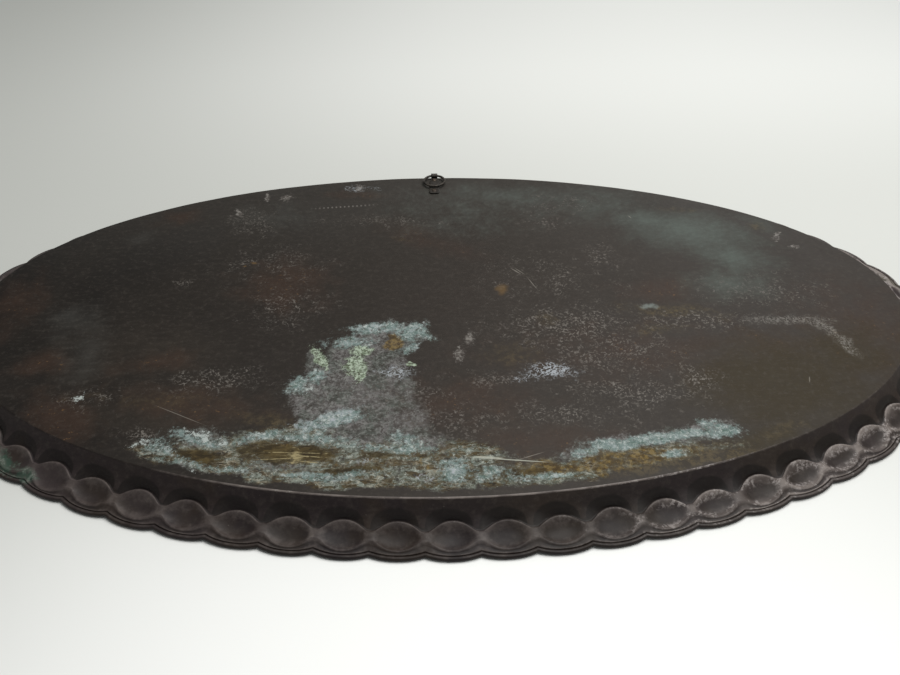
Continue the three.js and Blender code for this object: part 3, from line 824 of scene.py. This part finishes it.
def underside_patina():
    """The old, mostly brown-black underside, with everything that has dried, grown or rubbed on it, and
    painted shade, highlights and sheen.
    """
    m = Patina()
    red = paint_ground(m)
    haze_and_sheen = paint_haze_and_sheen(m)
    gold = paint_gold(m)
    paint_flecks(m, red)
    growth, cover = paint_film(m)
    streaks = paint_near_edge(m, growth, gold)
    turquoise = paint_turquoise(m)
    chalk = paint_frost_and_chalk(m)
    crust, corner = paint_small_places(m)
    dots = paint_marks(m)
    scratch = paint_scratches(m)
    wear_and_highlight = paint_wear_and_highlights(m)
    paint_shade_and_dirt(m)

    powdery = m.either(growth, m.times(haze_and_sheen, 0.5), crust, chalk, streaks, corner)
    roughness = m.add(m.between(m.mid, 0.42, 0.62), m.times(powdery, 0.26), m.times(wear_and_highlight, -0.06))
    height = m.add(m.times(m.mid, 0.14), m.times(m.small, 0.06), m.times(m.fine, 0.02),
                   m.times(m.either(crust, chalk), 0.1), m.times(m.either(cover, turquoise), 0.05),
                   m.times(m.either(scratch, dots), -0.06))
    m.surface.inputs["Specular IOR Level"].default_value = 0.2
    return m.finish(roughness, height)


# ---------------------------------------------------------------- the other metals

def serving_copper():
    """The serving face: the same copper, used and wiped, so browner and with hammer marks showing."""
    m = Shader("serving_copper")
    mid = m.noise(26, 4, 0.6)
    small = m.noise(5, 4, 0.6)
    marks = m.step(0.0, 0.75, m.cells(11))
    m.colour = m.mix(m.step(0.38, 0.62, m.noise(150, 3, 0.5)), (104, 68, 48), (134, 88, 62))
    m.paint((90, 58, 42), m.step(0.4, 0.64, mid), 0.3)
    m.paint((70, 50, 38), m.step(0.52, 0.7, small), 0.4)
    m.paint((62, 56, 46), m.step(0.58, 0.7, m.noise(70, 6, 0.65)), 0.4)
    # painted shade and dirt in the hollows of the border
    m.paint((40, 30, 24), m.field("shade_and_dirt"), 0.6)
    m.paint((74, 52, 40), m.step(0.55, 0.9, marks), 0.35)
    m.surface.inputs["Metallic"].default_value = 0.85
    return m.finish(m.between(small, 0.3, 0.55), m.add(m.times(marks, 0.12), m.times(m.noise(1.6, 2), 0.03)))


def small_metal(name, dark, light, grime, size, metallic):
    """A handled fitting: two tones of metal with grime over it."""
    m = Shader(name)
    blotches = m.noise(size, 4, 0.6)
    grain = m.noise(size / 6, 3, 0.6)
    m.colour = m.mix(m.step(0.4, 0.62, blotches), dark, light)
    m.paint(grime, m.step(0.5, 0.68, grain), 0.65)
    m.surface.inputs["Metallic"].default_value = metallic
    m.surface.inputs["Specular IOR Level"].default_value = 0.35
    return m.finish(m.between(grain, 0.35, 0.6), m.add(m.times(blotches, 0.12), m.times(grain, 0.04)))


# ---------------------------------------------------------------- the pieces

def make_pan():
    points, faces, back, fields = pan_shape()
    mesh = new_object("Pan", points, faces + back, "tray", "patinated_copper", "tray_pan",
                      materials=[underside_patina(), serving_copper()])
    mesh.polygons.foreach_set("material_index", np.repeat(np.int32([0, 1]), [len(faces), len(back)]))
    x, y = points[:, 0], points[:, 1]
    on_base = fields["base"]
    inside = (1 - np.hypot(x / BASE_HALF_LENGTH, y / BASE_HALF_WIDTH)) * BASE_HALF_WIDTH
    clear_edge = smooth_step(8.0, 1.0, inside + 3 * lattice_noise(x, y, 13, 25))
    for name, values in fields.items():
        add_field(mesh, name, values)
    for name, table in (("haze_and_sheen", HAZE_AND_SHEEN), ("red", RED), ("gold", GOLD), ("worms", WORMS), ("frost", FROST),
                        ("streaks", STREAKS), ("pools", POOLS), ("olive", OLIVE), ("pale_brown", PALE_BROWN),
                        ("turquoise", TURQUOISE), ("chalk", CHALK)):
        growing = name in ("streaks", "turquoise", "chalk")
        add_field(mesh, name, (areas(x, y, table) + 1) * on_base - 1 - 0.9 * clear_edge * growing)
    film = outlines(x, y, FILM, FILM_THINS_OVER)
    add_field(mesh, "film", (film + 1) * on_base - 1 - 0.6 * clear_edge)


def make_wire():
    """The stiffening wire, which the curled edge hides."""
    angle, u, _ = rim_columns()
    around = turns(8)
    middle = bead_middle(u, far_side_narrower(angle)) - 0.2
    x, y = oval(angle[:, None], middle[:, None] + WIRE_RADIUS * np.cos(around))
    z = (BEAD_HEIGHT + EDGE_LIFT * (2 * u) ** 2)[:, None] + WIRE_RADIUS * np.sin(around)
    new_object("Wire", np.stack([x, y, z], -1), grid_faces(len(angle), len(around), True, True), "tray",
               "rim_wire", "rim_wire",
               materials=[small_metal("rim_wire_iron", (52, 48, 46), (78, 70, 64), (88, 60, 42), 6, 0.7)])


def make_strap():
    """The hanger's strap: a hand-cut copper strip that lies on the base and is rolled into an eye."""
    middle = EYE_BORE_RADIUS + STRAP_THICKNESS / 2
    flat_z = EYE_Z - middle
    path = [(EYE_Y - STRAP_LENGTH + STRAP_LENGTH * t, flat_z) for t in np.linspace(0, 1, 26)]
    path += [(EYE_Y + middle * math.sin(a), EYE_Z - middle * math.cos(a))
             for a in np.radians(np.linspace(0, EYE_LIP_ANGLE + 60, 22)[1:])]
    path = np.array(path)
    ahead = np.gradient(path, axis=0)
    ahead /= np.linalg.norm(ahead, axis=1)[:, None]
    normal = np.stack([-ahead[:, 1], ahead[:, 0]], -1)
    length = np.concatenate([[0], np.cumsum(np.linalg.norm(np.diff(path, axis=0), axis=1))])
    taper = smooth_step(STRAP_LENGTH - 9, STRAP_LENGTH - 3, length)
    half = STRAP_HALF_WIDTH + (EYE_HALF_WIDTH - STRAP_HALF_WIDTH) * taper
    half *= np.sqrt(np.clip(1 - (1 - np.clip(length / 3.0, 0.03, 1)) ** 2, 0, 1)) * 0.45 + 0.55
    half += 0.12 * lattice_noise(length, 0 * length, 5, 31)

    # The section goes across the upper face and back across the lower one, thinner at the edges.
    across = np.array([-1, -0.97, -0.6, 0, 0.6, 0.97, 1])
    offset = STRAP_THICKNESS / 2 * (1 - 0.35 * (np.abs(across) > 0.99))
    across = np.concatenate([across, across[::-1]])
    offset = np.concatenate([offset, -offset[::-1]])
    x = HANGER_X + half[:, None] * across
    y = path[:, 0, None] + normal[:, 0, None] * offset
    z = path[:, 1, None] + normal[:, 1, None] * offset
    rows, places = x.shape
    first_end = [(c, places - 1 - c, places - 2 - c, c + 1) for c in range(places // 2 - 1)]
    last_end = [tuple((rows - 1) * places + v for v in quad[::-1]) for quad in first_end]
    faces = grid_faces(rows, places, round_columns=True) + first_end + last_end
    new_object("Hanger_Strap", np.stack([x, y, z], -1), faces, "tray", "hanger_copper", "hanger_strap",
               materials=[small_metal("strap_patina", (46, 42, 38), (64, 59, 54), (84, 79, 73), 4, 0.25)])


def make_ring():
    """The hanging ring, its wire a little uneven in thickness."""
    turn, tube = turns(72), turns(18)
    thick = RING_WIRE_RADIUS * (0.96 + 0.04 * lattice_noise(turn * 6, 0 * turn, 1.0, 41))
    radius = RING_RADIUS + 0.08 * np.sin(2 * turn + 1.0)
    r = radius[:, None] + thick[:, None] * np.cos(tube)
    x = HANGER_X + r * np.cos(turn)[:, None]
    y = RING_CENTRE_Y + r * np.sin(turn)[:, None]
    z = EYE_Z + thick[:, None] * np.sin(tube)
    new_object("Hanger_Ring", np.stack([x, y, z], -1),
               flipped(grid_faces(len(turn), len(tube), True, True)), "ring", "ring_brass", "hanger_ring",
               materials=[small_metal("ring_patina", (46, 41, 37), (82, 75, 68), (120, 116, 108), 5, 0.45)])


def make_rivet(node, y, seed, patina):
    """A rivet with a hammered dome on the strap and a flat tail on the serving face."""
    top = EYE_Z - EYE_BORE_RADIUS
    tail = BASE_HEIGHT - SHEET
    head = [(0.7, 0.97), (1.3, 0.84), (1.8, 0.6), (2.15, 0.3), (2.28, 0.08), (2.24, 0.0)]
    profile = [(r, top + h) for r, h in head]
    profile += [(RIVET_SHANK_RADIUS, top), (RIVET_SHANK_RADIUS, tail), (2.2, tail - 0.02),
                (2.1, tail - 0.32), (1.6, tail - RIVET_TAIL_HEIGHT + 0.03)]
    turn = turns(24)
    points = []
    for r, h in profile:
        wobble = 1 + 0.03 * lattice_noise(np.cos(turn) * 2 + 9 * seed, np.sin(turn) * 2 + h, 1.1, seed)
        dent = 0.05 * lattice_noise(r * np.cos(turn), r * np.sin(turn), 1.2, seed + 1) * (h > top)
        r = np.minimum(r * wobble, RIVET_HEAD_RADIUS)
        points += zip(HANGER_X + r * np.cos(turn), y + r * np.sin(turn), h - np.abs(dent))

    # Each end closes in a fan round one point on the axis.
    around = len(turn)
    last_row, head_middle, tail_middle = len(points) - around, len(points), len(points) + 1
    points += [(HANGER_X, y, top + RIVET_HEAD_HEIGHT), (HANGER_X, y, tail - RIVET_TAIL_HEIGHT + 0.01)]
    after = [(a + 1) % around for a in range(around)]
    faces = [(head_middle, a, b) for a, b in enumerate(after)]
    faces += flipped(grid_faces(len(profile), around, round_columns=True))
    faces += [(last_row + a, tail_middle, last_row + b) for a, b in enumerate(after)]
    new_object(node.title(), points, faces, "tray", "rivet_copper", node, materials=[patina])


make_pan()
make_wire()
make_strap()
make_ring()
rivet_patina = small_metal("rivet_patina", (50, 42, 36), (96, 80, 66), (120, 112, 100), 2.5, 0.35)
for seed, (node, y) in enumerate(RIVETS.items(), 51):
    make_rivet(node, y, seed, rivet_patina)


# ---------------------------------------------------------------- floor, light and camera

def make_floor():
    """Pale paper with painted light, brighter in front and at the far right, and painted shade elsewhere."""
    mesh = bpy.data.meshes.new("Floor")
    half = 6.0
    mesh.from_pydata([(-half, -half, 0), (half, -half, 0), (half, half, 0), (-half, half, 0)], [],
                     [(0, 1, 2, 3)])
    floor = bpy.data.objects.new("Floor", mesh)
    bpy.context.scene.collection.objects.link(floor)
    m = Shader("pale_paper")
    grain = m.noise(3, 3)
    # painted light in front and at the far right, over a painted shade that darkens towards the left
    near = m.step(0.0, 0.5, m.spot(m.place, 30, -500, 700, 700))
    far = m.times(m.step(150, 520, m.y), m.step(-650, 50, m.x), 0.32)
    shady = m.mix(m.step(-500, 400, m.x), [0.48, 0.49, 0.465, 1], [0.57, 0.58, 0.555, 1])
    m.colour = m.mix(m.either(near, far), shady, [0.94, 0.95, 0.94, 1])
    floor.data.materials.append(m.finish(m.between(grain, 0.75, 0.9), m.times(grain, 0.03)))


def area_light(name, place, aim, size, energy, colour=(1, 1, 1)):
    light = bpy.data.lights.new(name, "AREA")
    light.shape = "RECTANGLE"
    light.size, light.size_y = size
    light.energy = energy
    light.color = colour
    made = bpy.data.objects.new(name, light)
    made.location = place
    made.rotation_euler = (Vector(aim) - Vector(place)).to_track_quat("-Z", "Y").to_euler()
    made.visible_camera = False
    bpy.context.scene.collection.objects.link(made)


def make_world():
    world = bpy.data.worlds.new("Studio")
    world.use_nodes = True
    world.node_tree.nodes["Background"].inputs["Color"].default_value = (0.9, 0.93, 0.92, 1)
    world.node_tree.nodes["Background"].inputs["Strength"].default_value = 0.22
    bpy.context.scene.world = world


def make_camera():
    """The photograph's viewing angle: from in front, a little to the right, looking down."""
    pitch, yaw, roll = math.radians(40.69), math.radians(1.11), math.radians(-0.06)
    forward = Vector((math.sin(yaw) * math.cos(pitch), math.cos(yaw) * math.cos(pitch),
                      -math.sin(pitch)))
    right = forward.cross(Vector((0, 0, 1))).normalized()
    up = right.cross(forward)
    turned = right * math.cos(roll) + up * math.sin(roll)
    up = turned.cross(forward)
    camera = bpy.data.objects.new("Camera", bpy.data.cameras.new("Camera"))
    camera.data.sensor_width = 36.0
    camera.data.lens = 34.0
    camera.data.clip_start = 0.01
    camera.matrix_world = Matrix.Translation((-0.0020, -0.5308, 0.4408)) @ Matrix(
        (turned, up, -forward)).transposed().to_4x4()
    bpy.context.scene.collection.objects.link(camera)
    bpy.context.scene.camera = camera


make_floor()
make_world()
area_light("Softbox", (0.45, 0.1, 1.5), (0.0, -0.15, 0.0), (1.5, 1.2), 32, (1.0, 0.99, 0.97))
area_light("Window", (1.0, 1.5, 1.0), (0.2, 0.0, 0.0), (0.8, 0.7), 3, (0.95, 0.98, 1.0))
make_camera()
bpy.context.scene.view_settings.view_transform = "Standard"
